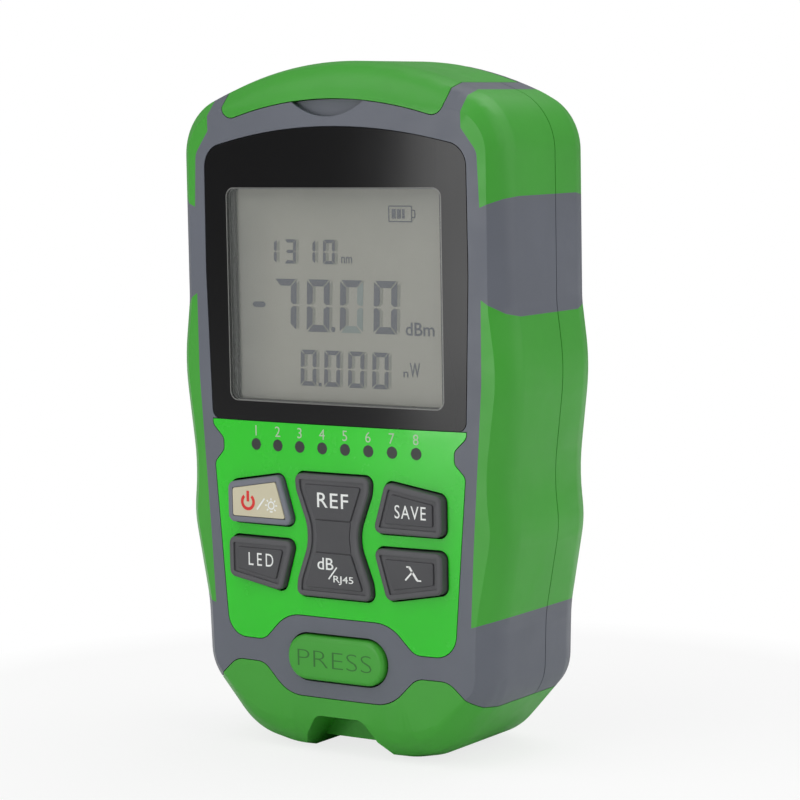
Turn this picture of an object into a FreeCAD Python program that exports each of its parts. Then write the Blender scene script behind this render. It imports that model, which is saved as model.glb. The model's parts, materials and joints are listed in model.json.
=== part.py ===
import FreeCAD, Part
import math
import os
import re
import Sketcher

# Hand-held optical power meter with a network cable tester.
# Frame: X to the right, Y to the back, Z up, origin on the ground under the centre of the base.
# All lengths are millimetres and all angles are degrees.

SIZES = {
    # casing, seen from the front
    "case_height": 120,
    "case_depth": 32.4,
    "top_radius": 66.6,
    "top_slope": 22.5,
    "shoulder_radius": 11,
    "side_x": 33.75,
    "side_z": 78.5,
    "side_radius": 20,
    "bulge_x": 35.1,
    "bulge_z": 67.5,
    "bulge_radius": 40,
    "waist_x": 32.85,
    "waist_z": 49,
    "waist_radius": 40,
    "palm_x": 33.75,
    "palm_z": 40.5,
    "palm_radius": 20,
    "taper_x": 30.9,
    "taper_z": 25,
    "taper_radius": 30,
    "hip_x": 30.5,
    "hip_z": 13,
    "hip_radius": 9,
    "heel_x": 20.5,
    "heel_z": 1.8,
    "heel_radius": 14,
    "sole_x": 11.5,
    "sole_radius": 20,
    # casing, seen from above and from the side
    "crown_radius": 412,
    "front_round": 6.5,
    "back_round": 7,
    "wall": 2.2,
    "front_wall": 3.4,
    "plate_back_y": -14.7,
    "glue": 0.1,
    "inlay": 1.2,
    "seam_y": 2.4,
    "seam_gap": 0.2,
    # junction with the remote module
    "junction_z": 10.1,
    "junction_gap": 0.15,
    "junction_floor": 1.8,
    "ramp_low_x": 10.8,
    "ramp_high_x": 16,
    "ramp_high_z": 15.3,
    "drop_x": 22.3,
    "drop_low_x": 27.2,
    "drop_low_z": 10.9,
    # display lens and its window
    "lens_low_x": 26.35,
    "lens_low_z": 58,
    "lens_mid_x": 27.15,
    "lens_mid_z": 84,
    "lens_high_x": 27,
    "lens_high_z": 105.3,
    "lens_peak_z": 111.2,
    "lens_peak_radius": 99,
    "plate_gap": 0.15,
    "glass_x": 22.8,
    "glass_low_z": 60.7,
    "glass_high_z": 99.2,
    "glass_y": -13.8,
    "glass_thick": 1.6,
    "light_thick": 1.9,
    "frame_x": 24.4,
    "frame_back_y": -9,
    "board_y": -8.8,
    "board_thick": 1.5,
    "board_x": 24.2,
    "board_low_z": 30,
    "board_high_z": 99.5,
    # keys
    "key_near_x": 8.3,
    "key_taper_x": 11,
    "key_far_x": 22.3,
    "key_high_z": 48.85,
    "key_high_far_z": 47,
    "key_split_high_z": 40,
    "key_split_low_z": 37.4,
    "key_low_far_z": 30.4,
    "key_low_z": 28.4,
    "key_corner": 1.3,
    "key_gap": 0.35,
    "key_top_y": -17.2,
    "key_flange_y": -14.55,
    "key_flange": 0.8,
    "key_post_y": -11.7,
    "rocker_flange_y": -14,
    "rocker_flange": 0.6,
    "rocker_axis_y": -11.9,
    "press_flange_y": -12.5,
    "key_lip": 0.9,
    "key_travel": 0.8,
    "dome_top_y": -10.8,
    "mat_y": -9.6,
    "dome_half": 2.5,
    "post_half": 2.2,
    "rocker_z": 38.7,
    "dot_pitch": 4.77,
    "dot_z": 53.84,
    "dot_radius": 1.07,
    # release button
    "press_z": 17.15,
    "press_half_x": 10.1,
    "press_half_z": 3.95,
    # dust cover and its hinge
    "cover_x": 22.95,
    "cover_corner_z": 110,
    "cover_peak_z": 116.27,
    "cover_peak_radius": 71,
    "hinge_y": 11.1,
    "hinge_z": 117,
    "hinge_bar": 2.6,
    "hinge_gap": 0.3,
    "knuckle": 2.1,
    "knuckle_x": 8,
    "pin_radius": 0.8,
    "pin_x": 11,
    "pin_gap": 0.05,
    "bay_wall": 1.5,
    "port_floor_z": 102,
    "port_top_z": 108,
    "lamp_radius": 2.5,
    # ports
    "jack_x": -12.5,
    "adapter_x": 2.5,
    "laser_x": 12,
    "lamp_x": 19,
    "port_y": -0.3,
    "ferrule_radius": 1.25,
    "jack_half_x": 7.6,
    "jack_half_y": 6.7,
    "plug_half_x": 5.9,
    "plug_half_y": 3.4,
    "plug_depth": 12.5,
    # batteries, their cover and the case screws
    "battery_pitch": 10.75,
    "battery_y": 8.6,
    "cell_low_z": 42.2,
    "cell_radius": 5.2,
    "cell_length": 43.2,
    "battery_low_z": 41.3,
    "battery_high_z": 87.2,
    "hatch_x": 18.5,
    "hatch_low_z": 38,
    "hatch_high_z": 90,
    "hatch_y": 14.4,
    "boss_high_x": 27,
    "boss_high_z": 93.5,
    "boss_low_x": 24.2,
    "boss_low_z": 25.5,
    "screw_seat_y": 12,
    # remote module
    "cap_screw_x": 14.5,
    "cap_screw_y": 7,
    "carrier_floor_z": 9.9,
    "remote_jack_y": 0.9,
    "remote_jack_z": 28,
}

doc = FreeCAD.newDocument("optical_power_meter")
sheet = doc.addObject("Spreadsheet::Sheet", "Sizes")
for row, (alias, size) in enumerate(SIZES.items(), start=1):
    sheet.set(f"A{row}", alias)
    sheet.set(f"B{row}", str(size))
    sheet.setAlias(f"B{row}", alias)
doc.recompute()

FRONT = "(-case_depth/2)"
BACK = "(case_depth/2)"
CREST = "(case_height + top_radius*(1/cos(top_slope) - 1))"


def cells(text):
    """The expression with each size's name made a reference to its cell."""
    return re.sub(r"[a-z]\w*", lambda word: f"Sizes.{word[0]}" if word[0] in SIZES else word[0], text)


def value(text):
    return float(sheet.evalExpression(cells(text)))


def bind(item, prop, text):
    item.setExpression(prop, cells(text))


def mirrored(right):
    """A closed outline from the corners of its right half, listed from the bottom up."""
    left = [(f"-({x})", z, r) for x, z, r in reversed(right) if x != "0"]
    return right + left


def corner_arc(before, corner, after, radius):
    """The ends and the middle point of the arc that rounds a corner."""
    to_before = (before - corner).normalize()
    to_after = (after - corner).normalize()
    half_angle = to_before.getAngle(to_after) / 2
    cut_back = radius / math.tan(half_angle)
    bisector = (to_before + to_after).normalize()
    middle = corner + bisector * (radius / math.sin(half_angle) - radius)
    return corner + to_before * cut_back, middle, corner + to_after * cut_back


class Outline:
    """Lines, arcs and constraints that are added to a sketch together, with their expressions."""

    def __init__(self, sketch):
        self.sketch = sketch
        self.geometry = []
        self.construction = []
        self.constraints = []
        self.expressions = []

    def add(self, piece, construction=False):
        self.geometry.append(piece)
        self.construction.append(construction)
        return self.sketch.GeometryCount + len(self.geometry) - 1

    def hold(self, *constraint):
        self.constraints.append(Sketcher.Constraint(*constraint))

    def hold_size(self, kind, *rest, text):
        self.expressions.append((len(self.constraints), text))
        self.hold(kind, *rest, value(text))

    def hold_point(self, geometry, end, x, z):
        self.hold_size("DistanceX", -1, 1, geometry, end, text=x)
        self.hold_size("DistanceY", -1, 1, geometry, end, text=z)

    def close(self):
        for piece, construction in zip(self.geometry, self.construction):
            self.sketch.addGeometry(piece, construction)
        first = self.sketch.ConstraintCount
        self.sketch.addConstraint(self.constraints)
        for index, text in self.expressions:
            bind(self.sketch, f"Constraints[{first + index}]", text)


def add_loop(sketch, corners):
    """A closed loop of lines with rounded corners, held by constraints bound to the sheet."""
    points = [FreeCAD.Vector(value(x), value(z), 0) for x, z, r in corners]
    count = len(corners)
    rounds = []
    for number, (x, z, r) in enumerate(corners):
        near = points[number]
        rounds.append(
            (near, near, near) if r == "0"
            else corner_arc(points[number - 1], near, points[(number + 1) % count], value(r))
        )
    outline = Outline(sketch)
    lines = [
        outline.add(Part.LineSegment(rounds[number][2], rounds[(number + 1) % count][0]))
        for number in range(count)
    ]
    for number, (x, z, r) in enumerate(corners):
        arriving, leaving = lines[number - 1], lines[number]
        if r == "0":
            outline.hold("Coincident", arriving, 2, leaving, 1)
            outline.hold_point(leaving, 1, x, z)
            continue
        curve = Part.Arc(*rounds[number])
        arc = outline.add(curve)
        turn = (points[number] - points[number - 1]).cross(points[(number + 1) % count] - points[number]).z
        start, end = (1, 2) if turn > 0 else (2, 1)
        outline.hold("Tangent", arriving, 2, arc, start)
        outline.hold("Tangent", leaving, 1, arc, end)
        outline.hold_size("Radius", arc, text=r)
        vertex = outline.add(Part.Point(points[number]), construction=True)
        outline.hold("PointOnObject", vertex, 1, arriving)
        outline.hold("PointOnObject", vertex, 1, leaving)
        outline.hold_point(vertex, 1, x, z)
    outline.close()




def grown(corners, by):
    """The same outline with every side moved outwards by one distance, or inwards if it is negative."""
    points = [FreeCAD.Vector(value(x), value(z), 0) for x, z, r in corners]
    count = len(corners)
    moved = []
    for number, (x, z, r) in enumerate(corners):
        after = (number + 1) % count
        x_before, z_before, _ = corners[number - 1]
        x_after, z_after, _ = corners[after]
        arriving = f"atan2(({z}) - ({z_before}); ({x}) - ({x_before}))"
        leaving = f"atan2(({z_after}) - ({z}); ({x_after}) - ({x}))"
        share = f"({by})/(1 + cos({leaving} - {arriving}))"
        turn = (points[number] - points[number - 1]).cross(points[after] - points[number]).z
        sign = "+" if turn > 0 else "-"
        moved.append((
            f"{x} + {share}*(sin({arriving}) + sin({leaving}))",
            f"{z} - {share}*(cos({arriving}) + cos({leaving}))",
            r if r == "0" else f"{r} {sign} ({by})",
        ))
    return moved


def new_body(name):
    body = doc.addObject("PartDesign::Body", name)
    body.Label = name
    return body


def front_sketch(body, name, y, *loops):
    """A sketch of outlines seen from the front, on the plane at y."""
    plane = [item for item in body.Origin.OriginFeatures if item.Role == "XZ_Plane"][0]
    sketch = body.newObject("Sketcher::SketchObject", name)
    sketch.AttachmentSupport = [(plane, "")]
    sketch.MapMode = "FlatFace"
    bind(sketch, "AttachmentOffset.Base.z", f"-({y})")
    for corners in loops:
        add_loop(sketch, corners)
    return sketch


def add_pad(body, name, y_from, y_to, *loops):
    """Material with an outline seen from the front, from y_from back to y_to."""
    pad = body.newObject("PartDesign::Pad", name)
    pad.Profile = front_sketch(body, f"{name}_outline", y_from, *loops)
    pad.Reversed = True
    bind(pad, "Length", f"({y_to}) - ({y_from})")
    return pad


def add_pocket(body, name, y_from, depth, *loops):
    """A recess that starts at y_from and goes back by depth."""
    pocket = body.newObject("PartDesign::Pocket", name)
    pocket.Profile = front_sketch(body, f"{name}_outline", y_from, *loops)
    bind(pocket, "Length", depth)
    return pocket


def add_loft(body, name, sections):
    """Material with straight sides through outlines at several depths."""
    sketches = [
        front_sketch(body, f"{name}_section_{number}", y, corners)
        for number, (y, corners) in enumerate(sections)
    ]
    loft = body.newObject("PartDesign::AdditiveLoft", name)
    loft.Profile = sketches[0]
    loft.Sections = sketches[1:]
    loft.Ruled = True
    return loft


def prism(name, corners, y_from, y_to):
    body = new_body(name)
    add_pad(body, f"{name}_pad", y_from, y_to, corners)
    return body


def block(name, x_from, x_to, y_from, y_to, z_from, z_to):
    item = doc.addObject("Part::Box", name)
    for prop, low, high in (("Length", x_from, x_to), ("Width", y_from, y_to), ("Height", z_from, z_to)):
        bind(item, prop, f"({high}) - ({low})")
    for axis, low in (("x", x_from), ("y", y_from), ("z", z_from)):
        bind(item, f"Placement.Base.{axis}", str(low))
    return item


def wide_block(name, half_x, y_from, y_to, z_from, z_to):
    return block(name, f"-({half_x})", half_x, y_from, y_to, z_from, z_to)


TURNS = {
    "x": FreeCAD.Rotation(FreeCAD.Vector(0, 1, 0), 90),
    "y": FreeCAD.Rotation(FreeCAD.Vector(1, 0, 0), -90),
    "z": FreeCAD.Rotation(),
}


def rod(name, along, x, y, z, radius, length):
    """A cylinder that starts at a point and runs along +x, +y or +z."""
    item = doc.addObject("Part::Cylinder", name)
    item.Placement = FreeCAD.Placement(FreeCAD.Vector(), TURNS[along])
    bind(item, "Radius", str(radius))
    bind(item, "Height", str(length))
    for axis, place in (("x", x), ("y", y), ("z", z)):
        bind(item, f"Placement.Base.{axis}", str(place))
    return item


def facet_rod(name, along, x, y, z, radius, length, sides=8):
    """A rod with flat sides, for small or hidden round pieces."""
    item = doc.addObject("Part::Prism", name)
    item.Polygon = sides
    item.Placement = FreeCAD.Placement(FreeCAD.Vector(), TURNS[along])
    bind(item, "Circumradius", str(radius))
    bind(item, "Height", str(length))
    for axis, place in (("x", x), ("y", y), ("z", z)):
        bind(item, f"Placement.Base.{axis}", str(place))
    return item


def crown(name, inset):
    """Everything behind the casing's crowned front face, set back by inset."""
    return rod(name, "z", "0", f"{FRONT} + crown_radius", "-case_height", f"crown_radius - ({inset})",
               "3*case_height")


def fuse(name, *items):
    item = doc.addObject("Part::MultiFuse", name)
    item.Shapes = list(items)
    return item


def cut(name, base, *tools):
    item = doc.addObject("Part::Cut", name)
    item.Base = base
    item.Tool = tools[0] if len(tools) == 1 else fuse(f"{name}_cutters", *tools)
    return item


def common(name, base, tool):
    item = doc.addObject("Part::Common", name)
    item.Base = base
    item.Tool = tool
    return item


def compound(name, items):
    item = doc.addObject("Part::Compound", name)
    item.Links = list(items)
    return item


# ---------------------------------------------------------------- casing outline

CASING = mirrored([
    ("sole_x", "0", "sole_radius"),
    ("heel_x", "heel_z", "heel_radius"),
    ("hip_x", "hip_z", "hip_radius"),
    ("taper_x", "taper_z", "taper_radius"),
    ("palm_x", "palm_z", "palm_radius"),
    ("waist_x", "waist_z", "waist_radius"),
    ("bulge_x", "bulge_z", "bulge_radius"),
    ("side_x", "side_z", "side_radius"),
    ("side_x", f"{CREST} - side_x*tan(top_slope)", "shoulder_radius"),
    ("0", CREST, "top_radius"),
])


def inner_top(inset):
    """The shoulder and the crest of an outline that lies inside the casing's by inset."""
    crest = f"{CREST} - {inset}/cos(top_slope)"
    return [
        (f"side_x - {inset}", f"{crest} - (side_x - {inset})*tan(top_slope)", f"shoulder_radius - {inset}"),
        ("0", crest, f"top_radius - {inset}"),
    ]


HOLLOW = mirrored([
    ("sole_x", "wall", "0"),
    ("heel_x - 1", "heel_z + wall", "0"),
    ("hip_x - wall", "hip_z + 0.5", "0"),
    ("palm_x - 1.5*wall", "palm_z", "0"),
    ("side_x - wall", "side_z", "0"),
    *inner_top("wall"),
])
INLAY_FLOOR = mirrored([
    ("sole_x", "ramp_high_z", "0"),
    ("taper_x - 2*inlay", "taper_z - 5", "0"),
    ("palm_x - 1.8*inlay", "palm_z - 2", "0"),
    ("side_x - inlay", "side_z", "0"),
    *inner_top("inlay"),
])


def rounded_sections(outline, front, back, inset, front_steps, back_steps):
    """The depths and outlines of a form whose front and back edges are rounded in equal steps."""
    sections = []
    for step in range(front_steps + 1):
        angle = 90 * step / front_steps
        reach = f"(front_round - {inset})"
        margin = f"{reach}*(1 - sin({angle}))"
        sections.append((f"{front} + {reach}*(1 - cos({angle}))", grown(outline, f"-({margin})")))
    for step in range(back_steps + 1):
        angle = 90 * step / back_steps
        reach = f"(back_round - {inset})"
        margin = f"{reach}*(1 - cos({angle}))"
        sections.append((f"{back} - {reach}*(1 - sin({angle}))", grown(outline, f"-({margin})")))
    return sections


def rounded_form(name, outline, front, inset, front_steps, back_steps):
    body = new_body(name)
    back = f"{BACK} - {inset}"
    add_loft(body, f"{name}_loft", rounded_sections(outline, front, back, inset, front_steps, back_steps))
    return body


outer_loft = rounded_form("outer_loft", CASING, FRONT, "0", 3, 3)
casing = common("casing_solid", outer_loft, crown("outer_crown", "0"))
inlay_loft = rounded_form("inlay_loft", INLAY_FLOOR, f"{FRONT} + inlay", "inlay", 1, 1)
inlay_floor = common("inlay_floor", inlay_loft, crown("inlay_crown", "inlay"))
cavity = rounded_form("cavity", HOLLOW, f"{FRONT} + front_wall", "wall", 1, 1)

# ---------------------------------------------------------------- meter and remote module

JUNCTION = mirrored([
    ("ramp_low_x", "junction_z", "7.2"),
    ("ramp_high_x", "ramp_high_z", "3.5"),
    ("drop_x", "ramp_high_z", "4"),
    ("drop_low_x", "drop_low_z", "6"),
    ("bulge_x + 3", "junction_z - 0.7", "0"),
    ("bulge_x + 3", "case_height + 10", "0"),
])
DEEP = "case_depth"


def above_junction(name, gap):
    return prism(name, grown(JUNCTION, f"-({gap})"), f"-{DEEP}", DEEP)


HINGE_FLOOR = "(hinge_z - 0.5)"
BAY_X = "(cover_x + 0.1)"
COVER = mirrored([
    ("cover_x", "cover_corner_z", "2.2"),
    ("cover_x", "case_height + 5", "0"),
])
COVER.insert(0, ("0", "cover_peak_z", "cover_peak_radius"))


def hinge_rod(name, radius, half_x):
    return rod(name, "x", f"-({half_x})", "hinge_y", "hinge_z", radius, f"2*({half_x})")


def boss_places():
    """The screws' places: the side's sign, and where each lies seen from the front."""
    rows = (("boss_high_x", "boss_high_z"), ("boss_low_x", "boss_low_z"))
    return [(side, x, z) for x, z in rows for side in ("", "-")]


# ---------------------------------------------------------------- grips

UPPER_GRIP = [
    ("29.5", "95.2", "0"), ("40", "99.6", "0"), ("40", "130", "0"), ("26.2", "130", "0"),
    ("26.2", "108.4", "0"), ("29.1", "104.5", "3"),
]
LOWER_GRIP = [
    ("26.8", "24.9", "0"), ("40", "29.1", "0"), ("40", "73", "0"), ("29.5", "80", "0"),
    ("29.4", "66", "20"), ("27.5", "38", "20"),
]


def flipped(corners):
    """The same outline on the other side of the middle."""
    return [(f"-({x})", z, r) for x, z, r in reversed(corners)]


grip_prisms = [
    prism(f"{place}_{side}_grip_area", corners if side == "right" else flipped(corners), f"-{DEEP}", DEEP)
    for place, corners in (("upper", UPPER_GRIP), ("lower", LOWER_GRIP))
    for side in ("right", "left")
]
grip_areas = fuse("grip_areas", *grip_prisms)
skin = cut("casing_skin", casing, inlay_floor)
grips = common("grips", skin, grip_areas)

# ---------------------------------------------------------------- shells

meter_form = common("meter_form", casing, above_junction("meter_area", "junction_gap/2"))
hollow_area = above_junction("hollow_area", "junction_gap/2 + junction_floor")
meter_hollow = common("meter_hollow", cavity, hollow_area)

bay_ribs = [
    block(f"{side}_bay_rib", low, high, f"{FRONT} + front_wall - 0.5", "14.5", "port_floor_z - 0.4",
          "case_height")
    for side, low, high in (
        ("right", BAY_X, f"{BAY_X} + bay_wall"),
        ("left", f"-({BAY_X} + bay_wall)", f"-{BAY_X}"),
    )
]
boss_rods = [
    facet_rod(f"boss_{number}", "y", f"{side}{x}", f"{FRONT} + front_wall - 0.5", z, "2.5", "28")
    for number, (side, x, z) in enumerate(boss_places())
]
battery_box = wide_block("battery_box", "hatch_x + 0.7", "2", "15", "hatch_low_z - 0.8", "hatch_high_z + 0.8")
hinge_bar = hinge_rod("hinge_bar", "hinge_bar", BAY_X)
inner_parts = common("inner_parts", casing, fuse("ribs", *bay_ribs, *boss_rods, battery_box, hinge_bar))
meter_shell = fuse("meter_shell", cut("meter_walls", meter_form, meter_hollow), inner_parts)

cover_opening = prism("cover_opening", grown(COVER, "plate_gap"), f"-{DEEP}", "hinge_y")
cover_cutter = cut("cover_cutter", cover_opening, hinge_rod("bar_keep", "hinge_bar", "bulge_x"))
swing_cutter = cut(
    "swing_cutter",
    wide_block("swing_room", BAY_X, "hinge_y - 0.01", DEEP, HINGE_FLOOR, "case_height + 5"),
    hinge_rod("swing_keep", "hinge_bar", "bulge_x"),
)
knuckle_cutters = [
    hinge_rod("knuckle_room", "hinge_bar + hinge_gap", "knuckle_x + hinge_gap"),
    wide_block("knuckle_slot", "knuckle_x + hinge_gap", "7", "14", HINGE_FLOOR, "case_height + 5"),
    hinge_rod("pin_bore", "pin_radius + pin_gap/2", "pin_x + 0.1"),
]
tongue_opening = wide_block("tongue_opening", "9.8", "-12.7", "9.1", "5", "20")
bay_hole = wide_block("bay_hole", BAY_X, f"{FRONT} + front_wall", "14", "port_floor_z - 3", "hinge_z - 5")

# ---------------------------------------------------------------- front plates

LENS = mirrored([
    ("lens_low_x", "lens_low_z", "1.6"),
    ("lens_mid_x", "lens_mid_z", "100"),
    ("lens_high_x", "lens_high_z", "4"),
    ("0", "lens_peak_z", "lens_peak_radius"),
])
PANEL = mirrored([
    ("10.8", "24.4", "7.2"),
    ("15.8", "19.4", "3"),
    ("23.6", "19.4", "4"),
    ("26.1", "50.2", "1.5"),
    ("24", "52.4", "1.5"),
    ("24", "54.6", "1.5"),
    ("26.4", "56.9", "1.5"),
    ("26.4", "lens_low_z - plate_gap", "0"),
])
PLATE_FRONT = f"({FRONT} - 1)"
PLATE_DEPTH = "-11"

ahead = crown("front_surface", "0")


def crowned_plate(name, outline, *holes):
    """A plate with a flat back whose front follows the crowned casing, with holes through it."""
    raw = common(f"{name}_raw", prism(f"{name}_area", outline, PLATE_FRONT, "plate_back_y"), ahead)
    return cut(name, raw, *holes) if holes else raw


def plate_recess(name, outline):
    return prism(f"{name}_recess", grown(outline, "plate_gap"), f"-{DEEP}", "plate_back_y + glue")


HIGH_KEY = [
    ("key_near_x", "key_split_high_z", "key_corner"),
    ("key_far_x", "key_split_high_z", "key_corner"),
    ("key_far_x", "key_high_far_z", "key_corner"),
    ("key_taper_x", "key_high_z", "key_corner"),
]
LOW_KEY = [
    ("key_taper_x", "key_low_z", "key_corner"),
    ("key_far_x", "key_low_far_z", "key_corner"),
    ("key_far_x", "key_split_low_z", "key_corner"),
    ("key_near_x", "key_split_low_z", "key_corner"),
]
ROCKER = mirrored([
    ("7.9", "28", "key_corner"),
    ("7.6", "31", "4"),
    ("4.7", "rocker_z", "8"),
    ("7.6", "46.4", "4"),
    ("7.9", "49.4", "key_corner"),
])
KEYS = {
    "power_key": flipped(HIGH_KEY),
    "save_key": HIGH_KEY,
    "led_key": flipped(LOW_KEY),
    "wavelength_key": LOW_KEY,
    "rocker_key": ROCKER,
}
PRESS = mirrored([
    ("press_half_x", "press_z - press_half_z", "press_half_z - 0.05"),
    ("press_half_x", "press_z + press_half_z", "press_half_z - 0.05"),
])

key_holes = [prism(f"{name}_hole", grown(corners, "key_gap"), f"-{DEEP}", PLATE_DEPTH)
             for name, corners in KEYS.items()]
dots = [
    (number, f"{number - 4.5}*dot_pitch")
    for number in range(1, 9)
]
dot_holes = [
    facet_rod(f"dot_hole_{number}", "y", x, f"-{DEEP}", "dot_z", "dot_radius", "25")
    for number, x in dots
]
press_hole = prism("press_hole", grown(PRESS, "key_gap"), f"-{DEEP}", PLATE_DEPTH)
keypad_hole = wide_block("keypad_hole", "key_far_x + key_lip + 0.4", "-20", PLATE_DEPTH, "key_low_z - 1.6",
                         "key_high_z + 1.7")
light_hole = wide_block("light_hole", "3.5*dot_pitch + 1.5", "-20", PLATE_DEPTH, "dot_z - 1.3",
                        "dot_z + 1.3")
window_hole = wide_block("window_hole", "glass_x + 0.15", "-20", "-10", "glass_low_z - 0.15",
                         "glass_high_z + 0.15")

display_lens = crowned_plate("display_lens", LENS)
keypad_panel = crowned_plate("keypad_panel", PANEL, *key_holes, *dot_holes)

# ---------------------------------------------------------------- front and rear shell

scoop = rod("finger_scoop", "y", "0", "-20", "122.6", "12", "5.1")
front_half = wide_block("front_half", "bulge_x + 5", "-20", "seam_y - seam_gap/2", "-1", "case_height + 1")
rear_half = wide_block("rear_half", "bulge_x + 5", "seam_y + seam_gap/2", "20", "-1", "case_height + 1")
battery_pocket = wide_block("battery_pocket", "16.15", "3.2", "20", "battery_low_z", "battery_high_z")
battery_ledge = wide_block("battery_ledge", "hatch_x + plate_gap", "hatch_y - 0.05", "20",
                           "hatch_low_z - plate_gap", "hatch_high_z + plate_gap")
screw_cutters = []
for number, (side, x, z) in enumerate(boss_places()):
    screw_cutters.append(facet_rod(f"screw_hole_{number}", "y", f"{side}{x}", "-6.2", z, "1.25", "25"))
    screw_cutters.append(
        facet_rod(f"screw_sink_{number}", "y", f"{side}{x}", "screw_seat_y", z, "2.3", "8", 12))

battery_room = wide_block("battery_room", "hatch_x + 0.9", "0", "3", "hatch_low_z - 1", "hatch_high_z + 1")
outer_cut = cut(
    "meter_cut", meter_shell, grips,
    cover_cutter, swing_cutter, *knuckle_cutters, tongue_opening, *screw_cutters,
)
front_shell = cut(
    "front_shell", common("front_blank", outer_cut, front_half), bay_hole, scoop, battery_room,
    plate_recess("lens", LENS), plate_recess("panel", PANEL),
    window_hole, keypad_hole, light_hole, press_hole,
)
rear_shell = cut(
    "rear_shell", common("rear_blank", outer_cut, rear_half), battery_pocket, battery_ledge, bay_hole,
)
front_grips = common("front_grips", grips, front_half)
rear_grips = common("rear_grips", grips, rear_half)

# ---------------------------------------------------------------- display

lcd_glass = wide_block("lcd_glass", "glass_x", "glass_y", "glass_y + glass_thick", "glass_low_z",
                       "glass_high_z")
lcd_backlight = wide_block("lcd_backlight", "glass_x", "glass_y + glass_thick",
                           "glass_y + glass_thick + light_thick", "glass_low_z", "glass_high_z")
lcd_frame = cut(
    "lcd_frame",
    wide_block("lcd_frame_block", "frame_x", f"{FRONT} + front_wall + 0.1", "frame_back_y", "glass_low_z - 2.2",
               "glass_high_z + 2.2"),
    wide_block("lcd_frame_room", "glass_x + 0.1", "-20", "-5", "glass_low_z - 0.1", "glass_high_z + 0.1"),
)
main_board = wide_block("main_board", "board_x", "board_y", "board_y + board_thick", "board_low_z",
                        "board_high_z")

# ---------------------------------------------------------------- keys


def squared(corners):
    """The same outline with sharp corners."""
    return [(x, z, "0") for x, z, r in corners]


def key(name, corners, flange_y, flange, lip):
    """A key cap with a bevelled rim and a flange, of the outline lip, that holds it behind the front."""
    body = new_body(f"{name}_body")
    rim = "key_top_y + 0.5"
    add_loft(body, f"{name}_rim", [("key_top_y", grown(corners, "-0.45")), (rim, corners)])
    add_pad(body, f"{name}_stem", rim, flange_y, corners)
    add_pad(body, f"{name}_flange", flange_y, f"{flange_y} + {flange}", lip)
    return body


def square_post(name, x, z, half, y_from, y_to):
    return block(name, f"{x} - {half}", f"{x} + {half}", y_from, y_to, f"{z} - {half}", f"{z} + {half}")


def post(name, x, z, y_from):
    """A post behind a key that pushes its dome."""
    return square_post(name, x, z, "post_half", y_from, "key_post_y")


KEY_X = "(key_near_x + key_far_x + 1.8)/2"
HIGH_Z = "(key_split_high_z + key_high_z - 1.2)/2"
LOW_Z = "(key_split_low_z + key_low_z + 1.2)/2"
dome_places = {
    "power_key": [(f"-{KEY_X}", HIGH_Z)],
    "save_key": [(KEY_X, HIGH_Z)],
    "led_key": [(f"-{KEY_X}", LOW_Z)],
    "wavelength_key": [(KEY_X, LOW_Z)],
    "rocker_key": [("0", "46"), ("0", "31.5")],
}
keys = {}
for name, corners in KEYS.items():
    kind = "rocker" if name == "rocker_key" else "key"
    lip = squared(grown(corners, "key_lip"))
    body = key(name, corners, f"{kind}_flange_y", f"{kind}_flange", lip)
    if name == "power_key":
        add_pocket(body, f"{name}_pad_room", "key_top_y", "0.8", squared(grown(corners, "-1.2")))
    else:
        add_pocket(body, f"{name}_groove", "key_top_y", "0.4", squared(grown(corners, "-0.8")),
                   squared(grown(corners, "-1.2")))
    posts = [
        post(f"{name}_post_{number}", x, z, f"{kind}_flange_y + {kind}_flange - 0.2")
        for number, (x, z) in enumerate(dome_places[name])
    ]
    if name == "rocker_key":
        posts.append(wide_block("rocker_web", "3", "rocker_flange_y", "rocker_axis_y", "rocker_z - 0.7",
                                "rocker_z + 0.7"))
        posts.append(rod("rocker_pivot", "x", "-3", "rocker_axis_y", "rocker_z", "0.8", "6"))
    keys[name] = fuse(name, body, *posts)
power_key_pad = prism("power_key_pad", squared(grown(KEYS["power_key"], "-1.25")), "key_top_y - 0.1",
                      "key_top_y + 0.8")

release = key("release_button", PRESS, "press_flange_y", "key_flange", grown(PRESS, "key_lip"))

mat_sheet = wide_block("mat_sheet", "23.5", "mat_y", "board_y", "board_low_z - 1.4", "50.5")
domes = [
    square_post(f"{name}_dome_{number}", x, z, "dome_half", "dome_top_y", "mat_y")
    for name, places in dome_places.items()
    for number, (x, z) in enumerate(places)
]
pivot_seat = wide_block("pivot_seat", "3.5", "rocker_axis_y + 0.9", "mat_y", "rocker_z - 1", "rocker_z + 1")
keypad_mat = fuse("keypad_mat", mat_sheet, *domes, pivot_seat)
status_lights = compound("status_lights", [
    facet_rod(f"light_{number}", "y", x, "-15.4", "dot_z", "dot_radius - 0.07", "15.4 + board_y")
    for number, x in dots
])

# ---------------------------------------------------------------- ports


def socket(name, x, y, z_from, z_to):
    """A modular jack that opens upwards, with the step for the plug's latch."""
    housing = block(f"{name}_housing", f"{x} - jack_half_x", f"{x} + jack_half_x", f"{y} - jack_half_y",
                    f"{y} + jack_half_y", z_from, z_to)
    rooms = [
        block(f"{name}_{room}", f"{x} - {half_x}", f"{x} + {half_x}", f"{y} {near}", f"{y} {far}",
              f"{z_to} - plug_depth", f"{z_to} + 1")
        for room, half_x, near, far in (
            ("opening", "plug_half_x", "- plug_half_y", "+ plug_half_y"),
            ("latch_room", "3.1", "+ 3.3", "+ 5"),
            ("latch_slot", "1.7", "+ 4.9", "+ 6"),
        )
    ]
    return cut(name, housing, *rooms)


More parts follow.
